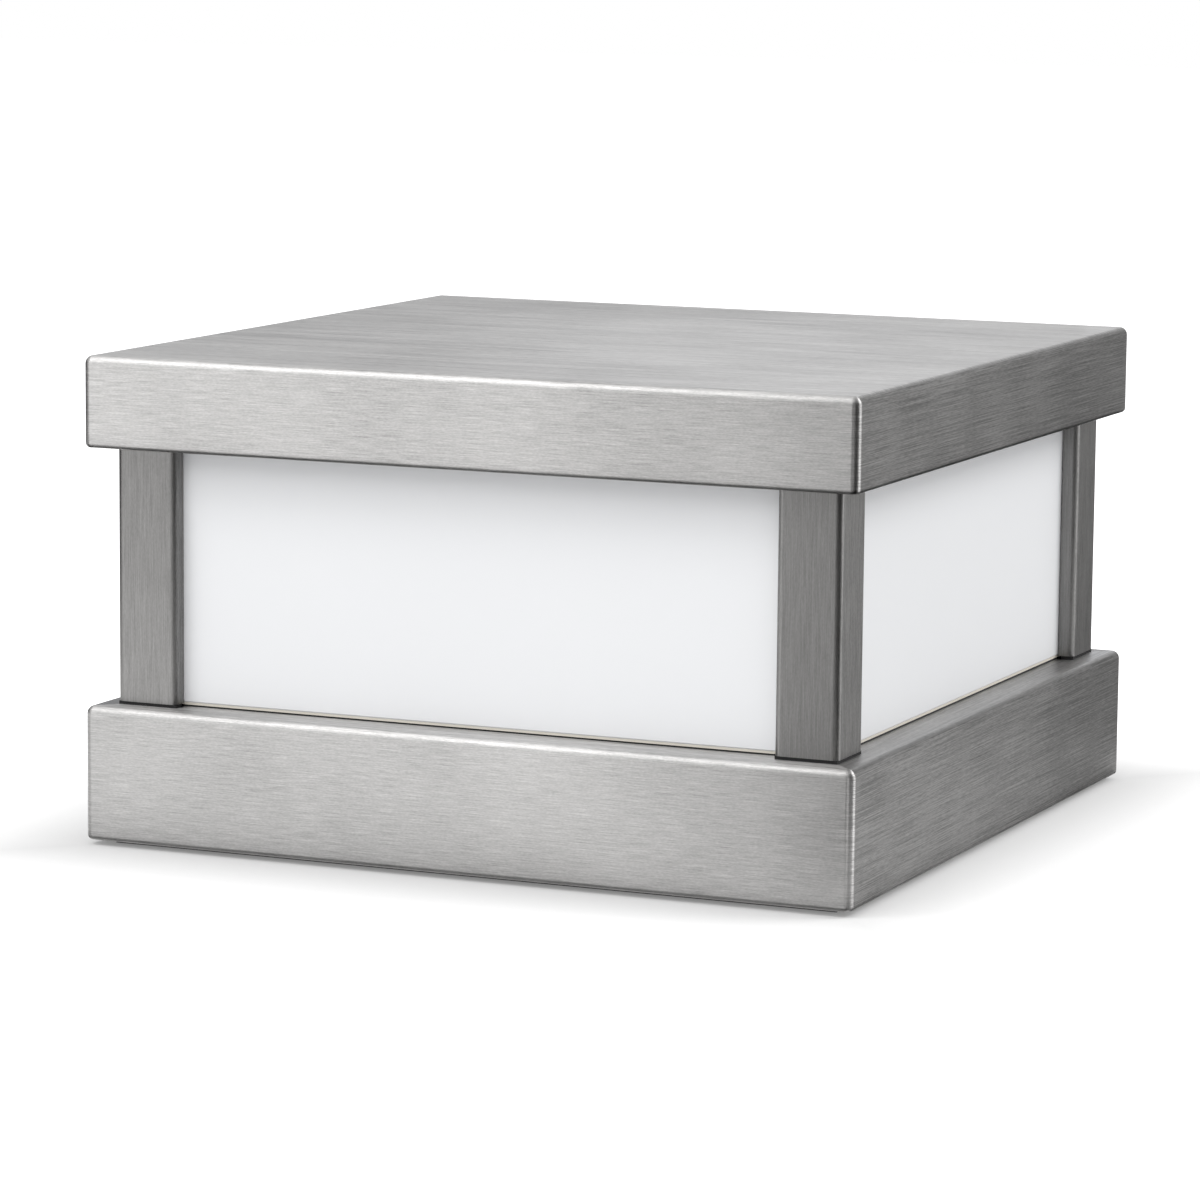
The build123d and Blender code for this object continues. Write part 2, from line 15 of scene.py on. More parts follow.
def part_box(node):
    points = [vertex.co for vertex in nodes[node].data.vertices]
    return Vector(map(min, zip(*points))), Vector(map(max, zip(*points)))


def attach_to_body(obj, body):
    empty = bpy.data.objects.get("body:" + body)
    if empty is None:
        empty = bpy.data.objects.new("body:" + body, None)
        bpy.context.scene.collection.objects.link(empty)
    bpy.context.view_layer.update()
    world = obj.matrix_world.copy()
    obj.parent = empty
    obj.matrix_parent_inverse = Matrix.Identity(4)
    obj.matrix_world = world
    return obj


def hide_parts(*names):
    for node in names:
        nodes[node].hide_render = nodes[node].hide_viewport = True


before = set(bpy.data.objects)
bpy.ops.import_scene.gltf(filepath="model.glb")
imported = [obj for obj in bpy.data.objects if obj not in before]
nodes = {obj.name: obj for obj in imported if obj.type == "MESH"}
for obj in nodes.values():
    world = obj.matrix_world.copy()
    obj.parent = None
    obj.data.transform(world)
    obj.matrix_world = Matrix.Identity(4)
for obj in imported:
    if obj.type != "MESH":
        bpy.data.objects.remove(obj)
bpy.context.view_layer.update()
MM = 0.001

# %% [markdown]
# ## Camera
# The photograph was taken with a long lens, a little above the light and to its right. The place
# and turn come from matching the corners of cap and base. A camera looks along its own -Z, so its
# matrix is made from the three directions right, up and back.

# %% Camera
LENS_MM, SENSOR_MM = 149.93, 36.0
CAMERA_PLACE = Vector((0.61685, -1.43888, 0.29657))
CAMERA_AZIMUTH, CAMERA_ELEVATION, CAMERA_ROLL = 23.489, 8.325, 0.538


def new_object(name, data):
    """An object in the scene."""
    item = bpy.data.objects.new(name, data)
    bpy.context.scene.collection.objects.link(item)
    return item


def outwards(azimuth, elevation):
    """Direction away from the light; angles are in degrees, azimuth 0 is the front and 90 the right."""
    a, e = math.radians(azimuth), math.radians(elevation)
    return Vector((math.sin(a) * math.cos(e), -math.cos(a) * math.cos(e), math.sin(e)))


def camera_matrix(place, azimuth, elevation, roll):
    """A camera at a place that looks towards the light from that azimuth and elevation."""
    a, r = math.radians(azimuth), math.radians(roll)
    back = outwards(azimuth, elevation)
    level_right = Vector((math.cos(a), math.sin(a), 0))
    level_up = back.cross(level_right)
    right = level_right * math.cos(r) + level_up * math.sin(r)
    up = back.cross(right)
    turn = Matrix((right, up, back)).transposed().to_4x4()
    return Matrix.Translation(place) @ turn


camera_data = bpy.data.cameras.new("photo_camera")
camera_data.lens = LENS_MM
camera_data.sensor_width = SENSOR_MM
camera = new_object("photo_camera", camera_data)
camera.matrix_world = camera_matrix(CAMERA_PLACE, CAMERA_AZIMUTH, CAMERA_ELEVATION, CAMERA_ROLL)
bpy.context.scene.camera = camera
bpy.context.scene.view_settings.view_transform = "Standard"
print("camera at", tuple(round(v, 3) for v in CAMERA_PLACE))

# %% [markdown]
# ## Helpers for materials
# A colour is written as an sRGB hex value, as a paint chart gives it, and turned to the linear
# numbers that the shader needs. One small function adds a node with its settings and links. A Mix
# node has its inputs A and B once for values, once for vectors and once for colours. They are found
# by number, so the numbers get names.

# %% Material helpers
VALUE_A, VALUE_B, VECTOR_A, VECTOR_B, COLOUR_A, COLOUR_B = range(2, 8)
VALUE_OUT, VECTOR_OUT, COLOUR_OUT = range(3)


def linear(hex_colour, brightness=1.0):
    """An sRGB hex colour as linear red, green, blue and alpha, made lighter or darker if wanted."""
    parts = [int(hex_colour[i:i + 2], 16) / 255 for i in (1, 3, 5)]
    parts = [p / 12.92 if p <= 0.04045 else ((p + 0.055) / 1.055) ** 2.4 for p in parts]
    return [min(1.0, p * brightness) for p in parts] + [1.0]


def add(tree, kind, inputs=None, **settings):
    """Adds a node with its settings; an input is linked to a socket, or set to a value."""
    node = tree.nodes.new(kind)
    for name, value in settings.items():
        setattr(node, name, value)
    for name, value in (inputs or {}).items():
        if isinstance(value, bpy.types.NodeSocket):
            tree.links.new(value, node.inputs[name])
        else:
            node.inputs[name].default_value = value
    return node


def new_material(name):
    """An empty material, its node tree and its output node."""
    material = bpy.data.materials.new(name)
    material.use_nodes = True
    material.node_tree.nodes.clear()
    output = material.node_tree.nodes.new("ShaderNodeOutputMaterial")
    return material, material.node_tree, output


print("helpers: linear, add, new_material")

# %% [markdown]
# ## Which way the sheet faces
# The sheet was brushed with an abrasive belt before it was folded, so fine straight hairlines run
# along it: level on the sides of cap and base, along each ledge of the base, from left to right on
# the top, and upright on the posts. The material tells these apart by the direction that the sheet
# faces and by its place, so one material serves a whole folded piece.

# %% Which way the sheet faces
FACING_LIMIT = 0.75
LEDGE_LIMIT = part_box("base_housing")[1][2] + MM


def facing_masks(tree, place):
    """Three masks: on a level face, on a right or left side, and beside the panes down at the base."""
    facing = add(tree, "ShaderNodeSeparateXYZ", {"Vector": place["Normal"]}).outputs
    spot = add(tree, "ShaderNodeSeparateXYZ", {"Vector": place["Object"]}).outputs
    upwards = add(tree, "ShaderNodeMath", {0: facing["Z"]}, operation="ABSOLUTE").outputs[0]
    sideways = add(tree, "ShaderNodeMath", {0: facing["X"]}, operation="ABSOLUTE").outputs[0]
    wide = add(tree, "ShaderNodeMath", {0: spot["X"]}, operation="ABSOLUTE").outputs[0]
    deep = add(tree, "ShaderNodeMath", {0: spot["Y"]}, operation="ABSOLUTE").outputs[0]
    is_top = add(tree, "ShaderNodeMath", {0: upwards, 1: FACING_LIMIT}, operation="GREATER_THAN")
    is_side = add(tree, "ShaderNodeMath", {0: sideways, 1: FACING_LIMIT}, operation="GREATER_THAN")
    beside = add(tree, "ShaderNodeMath", {0: wide, 1: deep}, operation="GREATER_THAN").outputs[0]
    low = add(tree, "ShaderNodeMath", {0: spot["Z"], 1: LEDGE_LIMIT}, operation="LESS_THAN").outputs[0]
    on_ledge = add(tree, "ShaderNodeMath", {0: beside, 1: low}, operation="MULTIPLY")
    return is_top.outputs[0], is_side.outputs[0], on_ledge.outputs[0]


print("ledges lie below", round(LEDGE_LIMIT / MM, 1), "mm")

# %% [markdown]
# ## Hairlines
# A real hairline is about 0.1 mm wide, too fine for this picture, so it is drawn about 0.2 mm wide
# and some 9 mm long. Short nicks and softer streaks are drawn in the same way. Each is noise that is
# squeezed across the hairlines and stretched along them.

# %% Hairlines
HAIRLINE = (0.2 * MM, 9 * MM)
NICK = (0.3 * MM, 1.0 * MM)
STREAK = (0.6 * MM, 30 * MM)
# Coarser than real ones, because a top is seen at a low angle and a right or left side at a slant
TOP_COARSER = 3
SIDE_LONGER = 3.5


def grain_noise(tree, place, masks, grain, width, length, detail=1.0):
    """Noise stretched along the hairlines, which run level on a top and along a ledge."""
    is_top, _, on_ledge = masks
    level = (1 / length, 1 / (SIDE_LONGER * length), 1 / width)
    upright = (1 / width, 1 / width, 1 / length)
    across, along = 1 / (TOP_COARSER * width), 1 / (TOP_COARSER * length)
    scales = (level if grain == "level" else upright, (along, across, along), (across, along, along))
    side, top, ledge = [
        add(tree, "ShaderNodeMapping", {"Vector": place["Object"], "Scale": scale}).outputs[0]
        for scale in scales]
    flat = add(tree, "ShaderNodeMix", {"Factor": on_ledge, VECTOR_A: top, VECTOR_B: ledge},
               data_type="VECTOR").outputs[VECTOR_OUT]
    where = add(tree, "ShaderNodeMix", {"Factor": is_top, VECTOR_A: side, VECTOR_B: flat},
                data_type="VECTOR").outputs[VECTOR_OUT]
    return add(tree, "ShaderNodeTexNoise", {"Vector": where, "Scale": 1.0, "Detail": detail}).outputs[0]


print("hairlines", round(HAIRLINE[0] / MM, 2), "by", round(HAIRLINE[1] / MM, 2), "mm")

# %% [markdown]
# ## Tones of the steel
# Nicks break the hairlines up, and streaks and broad clouds make the sheet patchy, as hand-held belts
# do. The mixed pattern makes the steel a little darker or lighter. A side that is seen at a slant shows
# its hairlines more strongly, so a smaller part of the pattern's range is used there.

# %% Tones of the steel
# Far coarser than the hairlines, as the uneven pressure of a belt is
CLOUD_SIZE = 45 * MM
NICK_SHARE, STREAK_SHARE, CLOUD_SHARE = 0.3, 0.15, 0.18
# The pattern's values that give the darkest and the lightest tone
FRONT_DARKEST, FRONT_LIGHTEST = 0.3, 0.7
SIDE_DARKEST, SIDE_LIGHTEST = 0.41, 0.59


def steel_tint(tree, place, is_side, hairlines, nicks, streaks, colour, contrast):
    """The colour of the steel, darker and lighter with its pattern."""
    clouds = add(tree, "ShaderNodeTexNoise", {
        "Vector": place["Object"], "Scale": 1 / CLOUD_SIZE, "Detail": 2.0}).outputs[0]
    pattern = hairlines
    for share, layer in ((NICK_SHARE, nicks), (STREAK_SHARE, streaks), (CLOUD_SHARE, clouds)):
        mix = add(tree, "ShaderNodeMix", {"Factor": share, VALUE_A: pattern, VALUE_B: layer})
        pattern = mix.outputs[VALUE_OUT]
    darkest = add(tree, "ShaderNodeMapRange", {
        "Value": is_side, "To Min": FRONT_DARKEST, "To Max": SIDE_DARKEST}).outputs[0]
    lightest = add(tree, "ShaderNodeMapRange", {
        "Value": is_side, "To Min": FRONT_LIGHTEST, "To Max": SIDE_LIGHTEST}).outputs[0]
    tone = add(tree, "ShaderNodeMapRange", {
        "Value": pattern, "From Min": darkest, "From Max": lightest}).outputs[0]
    return add(tree, "ShaderNodeMix", {
        "Factor": tone, COLOUR_A: linear(colour, 1 - contrast), COLOUR_B: linear(colour, 1 + contrast)},
        data_type="RGBA").outputs[COLOUR_OUT]


print("clouds of", round(CLOUD_SIZE / MM), "mm")

# %% [markdown]
# ## Brushed stainless steel
# Brushed metal mirrors unevenly: sharp along the hairlines and smeared across them. That is the
# Anisotropic value, with the tangent laid across the hairlines. The tangent leans a little, because
# straight up gives no direction on a top.

# %% Brushed stainless steel
SCRATCH_STRENGTH, SCRATCH_DEPTH = 0.06, 0.03 * MM
ROUGHNESS_SWING = 0.04
# Most of a noise lies between these values
NOISE_RANGE = {"From Min": 0.25, "From Max": 0.75}
LEAN = 0.12
ACROSS = {"level": (0.0, LEAN, 1.0), "upright": (1.0, LEAN, 0.0)}
ACROSS_LEDGE = {"level": (LEAN, 0.0, 1.0), "upright": ACROSS["upright"]}


def brushed_steel(name, colour, grain, roughness, smear, contrast):
    """Stainless sheet with hairlines; grain is 'level' or 'upright'."""
    material, tree, output = new_material(name)
    place = add(tree, "ShaderNodeTexCoord").outputs
    masks = facing_masks(tree, place)
    _, is_side, on_ledge = masks
    hairlines = grain_noise(tree, place, masks, grain, *HAIRLINE, detail=2.0)
    nicks = grain_noise(tree, place, masks, grain, *NICK)
    streaks = grain_noise(tree, place, masks, grain, *STREAK)
    tint = steel_tint(tree, place, is_side, hairlines, nicks, streaks, colour, contrast)
    shine = add(tree, "ShaderNodeMapRange", {
        "Value": streaks, "To Min": roughness - ROUGHNESS_SWING, "To Max": roughness + ROUGHNESS_SWING,
        **NOISE_RANGE}).outputs[0]
    scratches = add(tree, "ShaderNodeBump", {
        "Height": hairlines, "Strength": SCRATCH_STRENGTH, "Distance": SCRATCH_DEPTH}).outputs[0]
    tangent = add(tree, "ShaderNodeMix", {
        "Factor": on_ledge, VECTOR_A: ACROSS[grain], VECTOR_B: ACROSS_LEDGE[grain]},
        data_type="VECTOR").outputs[VECTOR_OUT]
    shader = add(tree, "ShaderNodeBsdfPrincipled", {
        "Base Color": tint, "Roughness": shine, "Normal": scratches, "Tangent": tangent,
        "Metallic": 1.0, "Anisotropic": smear})
    tree.links.new(shader.outputs[0], output.inputs[0])
    return material


# Brushed along its sides: a light grey metal with a broad, level sheen
level_steel = brushed_steel("stainless_steel_brushed_level", "#B6B5B4", "level", 0.42, 0.82, 0.38)
# Brushed upright: the same stainless steel with fine lines up and down, its colour made darker as painted
# shade for the darker posts
upright_steel_painted_darker = brushed_steel("stainless_steel_brushed_upright", "#8F8E8D", "upright", 0.40, 0.5, 0.28)
print("steel:", level_steel.name, upright_steel_painted_darker.name)

# %% [markdown]
# ## Plastics, rubber, paint and plain metals
# The panes are opal acrylic, an even white with a soft shine, because the sheet is extruded between
# polished rolls. Rubber is dark and dull with a fine grain. Paint and moulded plastic get a slight
# unevenness, as orange peel or mould grain does. Pressed or plated metal keeps a faint mottle from the
# mill. One function makes them all, because they differ only in colour, shine and grain.

# %% Plain finishes
# Broad and faint, so that no large piece is one flat colour
PATCH_SIZE = 40 * MM
GRAIN_DEPTH = 0.05 * MM


def plain_finish(name, colour, roughness, grain_mm, bump=0.05, metallic=0.0, variation=0.04, uneven=0.06):
    """A finish of one colour with slight variation and a fine grain of that size."""
    material, tree, output = new_material(name)
    place = add(tree, "ShaderNodeTexCoord").outputs["Object"]
    grain = add(tree, "ShaderNodeTexNoise", {
        "Vector": place, "Scale": 1 / (grain_mm * MM), "Detail": 3.0}).outputs[0]
    patches = add(tree, "ShaderNodeTexNoise", {
        "Vector": place, "Scale": 1 / PATCH_SIZE, "Detail": 2.0}).outputs[0]
    tint = add(tree, "ShaderNodeMix", {
        "Factor": patches,
        COLOUR_A: linear(colour, 1 - variation),
        COLOUR_B: linear(colour, 1 + variation)}, data_type="RGBA").outputs[COLOUR_OUT]
    shine = add(tree, "ShaderNodeMapRange", {
        "Value": grain, "To Min": roughness - uneven, "To Max": roughness + uneven,
        **NOISE_RANGE}).outputs[0]
    height = add(tree, "ShaderNodeBump", {
        "Height": grain, "Strength": bump, "Distance": GRAIN_DEPTH}).outputs[0]
    shader = add(tree, "ShaderNodeBsdfPrincipled", {
        "Base Color": tint, "Roughness": shine, "Normal": height, "Metallic": metallic})
    tree.links.new(shader.outputs[0], output.inputs[0])
    return material


# Extruded opal acrylic: an even white with a soft, broad shine
opal = plain_finish("acrylic_opal", "#F5F6F8", 0.32, 1.2, bump=0.0, variation=0.008, uneven=0.0)
# Moulded rubber: almost black and dull, with a fine skin
rubber = plain_finish("rubber_black", "#1B1B1C", 0.7, 0.4, bump=0.2)
# Powder coat: a warm white with the slight waves of orange peel
white_paint = plain_finish("powder_coat_white", "#EDEDE9", 0.42, 0.6, bump=0.15)
# Stainless sheet as rolled: a dull grey metal without hairlines
mill_steel = plain_finish("stainless_steel_mill", "#B3B1AD", 0.42, 0.8, metallic=1.0)
# Zinc plate: a cool, fairly bright metal on all small fasteners
zinc = plain_finish("steel_zinc_plated", "#B9BABC", 0.3, 0.5, metallic=1.0)
# Solder resist on the LED board: a white lacquer with a satin shine
board_white = plain_finish("solder_resist_white", "#EFEFEA", 0.35, 0.5)
# Moulded LED package: a plain white plastic
led_package = plain_finish("polyamide_white", "#F1F0EA", 0.4, 0.3)
# Phosphor in silicone: the yellow drop of a white LED that is off
phosphor = plain_finish("led_phosphor_yellow", "#EBC74A", 0.4, 0.3)
# Moulded ABS: a light grey case with a fine spark-eroded grain
driver_plastic = plain_finish("abs_light_grey", "#D9D8D4", 0.45, 0.5, bump=0.15)
# Moulded nylon: slightly waxy, grey for the block and orange for its levers
terminal_plastic = plain_finish("nylon_grey", "#C4C2BA", 0.5, 0.5, bump=0.12)
lever_plastic = plain_finish("nylon_orange", "#E2761E", 0.4, 0.5)
# Turned brass: a yellow metal with a clear shine
brass = plain_finish("brass_plain", "#C9A860", 0.28, 0.5, metallic=1.0)
# Tinned copper: a pale, soft-looking metal
tin = plain_finish("copper_tinned", "#C2C0BC", 0.35, 0.5, metallic=1.0)
print("plain finishes:", len(bpy.data.materials), "materials so far")

# %% [markdown]
# ## Finishes on the CAD nodes
# Pieces whose CAD shape is already good enough, such as a flat pane or a tray, keep it and only get
# a finish.


# %% Finishes on the CAD nodes
def dress(material, *node_names):
    """Gives CAD nodes their finish."""
    for name in node_names:
        mesh = nodes[name].data
        mesh.materials.clear()
        mesh.materials.append(material)


retainers = [name for name in nodes if name.startswith("pane_retainer")]
dress(opal, "pane_front", "pane_right", "pane_back", "pane_left")
dress(rubber, "base_gasket", "cap_gasket", "post_pads")
dress(white_paint, "gear_tray", "cap_reflector")
dress(mill_steel, "base_plate", "driver_straps", *retainers)
dress(zinc, "cap_set_nuts")
dress(board_white, "led_board")
dress(driver_plastic, "led_driver", "led_connector")
dress(terminal_plastic, "terminal_block")
dress(lever_plastic, "terminal_levers")
dress(brass, "earth_stud", "earth_nut")
dress(tin, "earth_tag")
dress(level_steel, "top_frame")
print("finishes given to the CAD nodes")

# %% [markdown]
# ## Pane seals
# The strips under and over the panes are dark rubber. Along the edge that touches the pane, a pale cream
# band is painted on them as a painted highlight for the light line along the pane's edge, so they give
# the fine dark and cream lines along the panes. One material does both, because the colour changes at a
# height above the foot.

# %% Pane seals
# Height and colour of the painted highlight band on the dark rubber
HIGHLIGHT_BAND_HEIGHT = 0.7 * MM
FOOT_COLOUR, HIGHLIGHT_BAND_COLOUR = "#1B1B1C", "#E3DED2"
SEAL_GRAIN = 0.4 * MM
SEAL_SHINIEST, SEAL_DULLEST = 0.55, 0.75


def seal_with_painted_highlight(name, low, high):
    """Dark rubber with a pale band of painted highlight between two heights."""
    material, tree, output = new_material(name)
    place = add(tree, "ShaderNodeTexCoord").outputs["Object"]
    level = add(tree, "ShaderNodeSeparateXYZ", {"Vector": place}).outputs["Z"]
    in_highlight_band = add(tree, "ShaderNodeMath", {0: level, 1: (low + high) / 2, 2: (high - low) / 2},
                 operation="COMPARE").outputs[0]
    colour = add(tree, "ShaderNodeMix", {
        "Factor": in_highlight_band, COLOUR_A: linear(FOOT_COLOUR), COLOUR_B: linear(HIGHLIGHT_BAND_COLOUR)},
        data_type="RGBA").outputs[COLOUR_OUT]
    grain = add(tree, "ShaderNodeTexNoise", {"Vector": place, "Scale": 1 / SEAL_GRAIN}).outputs[0]
    shine = add(tree, "ShaderNodeMapRange", {
        "Value": grain, "To Min": SEAL_SHINIEST, "To Max": SEAL_DULLEST, **NOISE_RANGE}).outputs[0]
    shader = add(tree, "ShaderNodeBsdfPrincipled", {"Base Color": colour, "Roughness": shine})
    tree.links.new(shader.outputs[0], output.inputs[0])
    return material


lower_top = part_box("lower_pane_seals")[1][2]
upper_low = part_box("upper_pane_seals")[0][2]
# Dark rubber with a painted highlight: a fine cream line beside a dark one
dress(seal_with_painted_highlight("rubber_lower_seal", lower_top - HIGHLIGHT_BAND_HEIGHT, lower_top), "lower_pane_seals")
dress(seal_with_painted_highlight("rubber_upper_seal", upper_low, upper_low + HIGHLIGHT_BAND_HEIGHT), "upper_pane_seals")
print("seals with a painted highlight band of", HIGHLIGHT_BAND_HEIGHT / MM, "mm")

# %% [markdown]
# ## Loops and skins
# Most pieces here are made from loops of points, one above the other, that are joined by faces, as
# a knitted tube is. Where a loop shrinks to a point or a corner, its doubled points are merged. A
# finished mesh is shaded smooth, with sharp edges kept, and weighted normals keep flat faces flat
# right up to their bends, which matters on metal because it mirrors every ripple.

# %% Loops and skins
MERGE_DISTANCE = 0.001 * MM


def new_piece(name, mesh, material):
    """An object of its own from an edited mesh."""
    data = bpy.data.meshes.new(name)
    mesh.to_mesh(data)
    mesh.free()
    data.materials.append(material)
    return new_object(name, data)


def skin(name, rows, material, close_ends=False, close_top=False):
    """A piece from loops of points; neighbouring loops are joined, and the ends closed if wanted."""
    mesh = bmesh.new()
    loops = [[mesh.verts.new(point) for point in row] for row in rows]
    count = len(rows[0])
    for upper, lower in zip(loops, loops[1:]):
        for i in range(count):
            j = (i + 1) % count
            mesh.faces.new((upper[i], lower[i], lower[j], upper[j]))
    if close_ends or close_top:
        mesh.faces.new(loops[0])
    if close_ends:
        mesh.faces.new(reversed(loops[-1]))
    bmesh.ops.remove_doubles(mesh, verts=mesh.verts, dist=MERGE_DISTANCE)
    mesh.normal_update()
    return new_piece(name, mesh, material)


def shade(piece, sharp_degrees=40):
    """Smooth shading with sharp edges kept and flat faces flat."""
    for polygon in piece.data.polygons:
        polygon.use_smooth = True
    piece.data.set_sharp_from_angle(angle=math.radians(sharp_degrees))
    weights = piece.modifiers.new("flat_faces", "WEIGHTED_NORMAL")
    weights.keep_sharp = True
    return piece


print("loop tools: new_piece, skin, shade")

# %% [markdown]
# ## Sheet metal
# A folded piece is first drawn as its outer surface. A Solidify modifier then gives it the thickness
# of the sheet, inwards, and the result is kept as a plain mesh. Each finished piece rides on a body,
# so that it moves with it, and stands for the CAD nodes that it replaces.


# %% Sheet metal
def sheet_metal(piece, thickness):
    """Gives an outer surface the thickness of its sheet, inwards."""
    thick = piece.modifiers.new("sheet", "SOLIDIFY")
    thick.thickness = thickness
    thick.offset = -1
    thick.use_even_offset = True


def plain_mesh(item, name):
    """A mesh of an object as its modifiers or its curve make it."""
    graph = bpy.context.evaluated_depsgraph_get()
    mesh = bpy.data.meshes.new_from_object(item.evaluated_get(graph), depsgraph=graph)
    mesh.name = name
    return mesh


def settle(piece):
    """Turns a piece with modifiers into a plain mesh."""
    old = piece.data
    piece.data = plain_mesh(piece, piece.name)
    piece.modifiers.clear()
    bpy.data.meshes.remove(old)


def attach(piece, body, slot, *node_names):
    """The piece rides on a body and stands for CAD nodes, which are hidden; slot is not used."""
    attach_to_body(piece, body)
    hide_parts(*node_names)


print("sheet tools: sheet_metal, settle, attach")

# %% [markdown]
# ## Folds of cap and base
# Cap and base are folded from sheet, and their corners are welded and ground round. Each is a stack
# of squares with rounded corners that follows a section: over the top bend, down the side and round
# the tighter lower bend. At the corners the bends meet as a piece of a ball.

# %% Folds of cap and base
SHEET = 1.5 * MM
BEND = 2.5 * MM
LOWER_BEND = 1.5 * MM
CORNER_STEPS = 6
QUARTER_TURN = math.pi / 2
cap_low, cap_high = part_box("cap_shell")
HALF = cap_high[0]


def quarter_steps():
    """Sine and cosine over a quarter turn."""
    angles = [QUARTER_TURN * step / CORNER_STEPS for step in range(CORNER_STEPS + 1)]
    return [(math.sin(angle), math.cos(angle)) for angle in angles]


def rounded_square(reach, corner, level):
    """Points round a square with rounded corners, anticlockwise from its left front corner."""
    points = []
    middle = corner - reach
    for quarter in range(4):
        turn = Matrix.Rotation(quarter * QUARTER_TURN, 3, "Z")
        for sine, cosine in quarter_steps():
            points.append(turn @ Vector((middle - corner * cosine, middle - corner * sine, level)))
    return points


def bent_side(low, high):
    """Rows of a folded side, from the top bend down to the lower bend."""
    rows = []
    for sine, cosine in quarter_steps():
        rows.append(rounded_square(HALF - BEND * (1 - sine), BEND * sine, high - BEND * (1 - cosine)))
    for sine, cosine in quarter_steps():
        inset = LOWER_BEND * (1 - cosine)
        rows.append(rounded_square(HALF - inset, BEND - inset, low + LOWER_BEND * (1 - sine)))
    return rows


print("bends of", round(BEND / MM, 1), "and", round(LOWER_BEND / MM, 1), "mm")

# %% [markdown]
# ## Cap
# The cap's section goes on from the lower bend along a return, up to an opening that clears the frame
# on top of the posts. Two holes at the back take the grub screws that hold the cap on. A Boolean
# modifier drills them with a round bar.

# %% Cap
post_low, post_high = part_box("post_front_right")
screw_low, screw_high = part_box("cap_set_screws")
POST_FACE = post_high[0]
CAP_ROOM, SCREW_ROOM = 0.7 * MM, 0.25 * MM
DRILL_REACH = 3 * SHEET
SET_SCREW_RADIUS = (screw_high[2] - screw_low[2]) / 2
SET_SCREW_HOLE = SET_SCREW_RADIUS + SCREW_ROOM
SET_SCREW_X = screw_high[0] - SET_SCREW_RADIUS
SET_SCREW_LEVEL = (screw_low[2] + screw_high[2]) / 2


def round_loop(radius, level, count=24):
    """Points round an upright axis."""
    angles = [2 * math.pi * i / count for i in range(count)]
    return [Vector((radius * math.cos(a), radius * math.sin(a), level)) for a in angles]


cap_rows = bent_side(cap_low[2], cap_high[2]) + [rounded_square(POST_FACE + CAP_ROOM, 0, cap_low[2])]
cap_lid = skin("cap_lid", cap_rows, level_steel, close_top=True)
sheet_metal(cap_lid, SHEET)
drill_rows = [round_loop(SET_SCREW_HOLE, DRILL_REACH), round_loop(SET_SCREW_HOLE, -DRILL_REACH)]
for side in (-1, 1):
    drill = skin("drill", drill_rows, level_steel, close_ends=True)
    drill_place = Matrix.Translation((side * SET_SCREW_X, HALF, SET_SCREW_LEVEL))
    drill.data.transform(drill_place @ Matrix.Rotation(QUARTER_TURN, 4, "X"))
    cut = cap_lid.modifiers.new("screw_hole", "BOOLEAN")
    cut.operation = "DIFFERENCE"
    cut.object = drill
    settle(cap_lid)
    bpy.data.objects.remove(drill)
attach(shade(cap_lid), "cap", "brushed_stainless", "cap_shell")
print("cap folded,", round(2 * HALF / MM), "mm wide")

# %% [markdown]
# ## Base
# The base is open at the top under the gear tray, which overlaps its edge. Below, the section turns up
# into a pocket and in along a ledge, so that the base plate lies flush.

# %% Base
base_low, base_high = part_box("base_housing")
plate_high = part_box("base_plate")[1]
tray_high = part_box("gear_tray")[1]
TRAY_OVERLAP = 9 * MM
PLATE_ROOM = 0.3 * MM
LEDGE_WIDTH = 16 * MM
pocket = plate_high[0] + PLATE_ROOM
base_rows = [rounded_square(tray_high[0] - TRAY_OVERLAP, 0, base_high[2])]
base_rows += bent_side(base_low[2], base_high[2])
base_rows += [rounded_square(pocket, 0, level) for level in (base_low[2], plate_high[2])]
base_rows += [rounded_square(pocket - LEDGE_WIDTH, 0, plate_high[2])]
base_skirt = skin("base_skirt", base_rows, level_steel)
sheet_metal(base_skirt, SHEET)
settle(base_skirt)
attach(shade(base_skirt), "lantern", "brushed_stainless", "base_housing")
print("base folded,", round((base_high[2] - base_low[2]) / MM, 1), "mm high")

# %% [markdown]
# ## Corner posts
# Each post is one strip of sheet with three folds: two legs that meet at the corner, and a narrow
# return on each leg that reaches in to the pane. The strip is drawn as a line in plan, its folds are
# rounded with bmesh's bevel, and it is turned by a quarter for each corner.

# %% Corner posts
POST_WIDTH = post_high[0] - post_low[0]
POST_SHEET = 1.2 * MM
POST_BEND = 2.0 * MM
POST_RETURN = 5.2 * MM
CORNERS = ("front_left", "front_right", "back_right", "back_left")


def corner_post(name, quarter_turns):
    """A folded post at the front left corner, turned to its own corner."""
    w, r = POST_WIDTH, POST_RETURN
    strip = [Vector((x - POST_FACE, y - POST_FACE, 0)) for x, y in ((r, w), (0, w), (0, 0), (w, 0), (w, r))]
    turn = Matrix.Rotation(quarter_turns * QUARTER_TURN, 3, "Z")
    mesh = bmesh.new()
    rows = []
    for level in (post_low[2], post_high[2]):
        rows.append([mesh.verts.new(turn @ point + Vector((0, 0, level))) for point in strip])
    for i in range(len(strip) - 1):
        mesh.faces.new((rows[0][i], rows[0][i + 1], rows[1][i + 1], rows[1][i]))
    folds = [edge for edge in mesh.edges if len(edge.link_faces) == 2]
    bmesh.ops.bevel(mesh, geom=folds, offset=POST_BEND, segments=CORNER_STEPS, affect="EDGES", profile=0.5)
    mesh.normal_update()
    post = new_piece(name, mesh, upright_steel_painted_darker)
    sheet_metal(post, POST_SHEET)
    settle(post)
    return shade(post)


for quarter, corner in enumerate(CORNERS):
    post = corner_post(f"folded_post_{corner}", quarter)
    attach(post, "lantern", "brushed_stainless", f"post_{corner}")
print("posts folded:", len(CORNERS))

